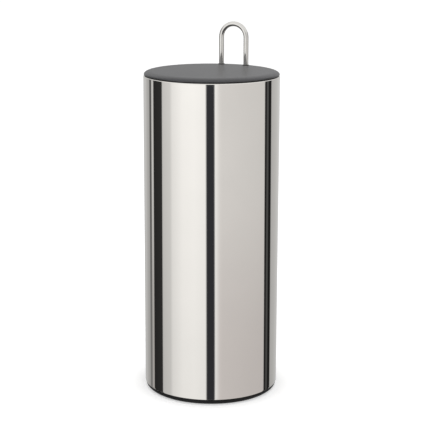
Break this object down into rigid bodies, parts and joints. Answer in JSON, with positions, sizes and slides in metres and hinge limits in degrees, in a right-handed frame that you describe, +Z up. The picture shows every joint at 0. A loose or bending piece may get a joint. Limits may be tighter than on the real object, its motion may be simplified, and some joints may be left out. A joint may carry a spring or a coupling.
{
  "type": "toilet roll storage holder",
  "caption": "Tall round polished steel canister for spare toilet rolls, with a grey lid and a wire loop that lift the rolls out.",
  "frame": {"origin": "on the floor, under the middle of the canister", "axes": "+Z up along the canister's axis, -Y towards the front, +Y towards the wire at the back, +X to the right"},
  "size_m": [0.1458, 0.1458, 0.3986],
  "materials": {
    "polished_steel": "mirror-polished stainless steel",
    "polished_wire": "polished stainless wire",
    "lid_grey": "satin dark grey moulding",
    "black_moulding": "fine-textured black moulding",
    "silicone": "matt black silicone",
    "zinc_plated": "bright zinc-plated steel"
  },
  "bodies": {
    "canister": {"canister_shell": "polished_steel", "base_moulding": "black_moulding", "foot_pad_1": "silicone", "foot_pad_2": "silicone", "foot_pad_3": "silicone", "foot_pad_4": "silicone"},
    "carrier": {"lid_cover": "lid_grey", "lid_underside": "black_moulding", "lid_seal": "silicone", "lid_screw_1": "zinc_plated", "lid_screw_2": "zinc_plated", "lid_screw_3": "zinc_plated", "lid_screw_4": "zinc_plated", "handle_frame": "polished_wire", "lid_bracket": "zinc_plated", "bracket_screw_left": "zinc_plated", "bracket_screw_right": "zinc_plated", "leg_grommet_left": "silicone", "leg_grommet_right": "silicone", "carrier_plate": "black_moulding", "leg_screw_left": "zinc_plated", "leg_screw_right": "zinc_plated"}
  },
  "joints": [
    {"name": "carrier_lift", "type": "slide", "parent": "canister", "child": "carrier", "axis": [0, 0, 1], "range_m": [0, 0.35]}
  ]
}
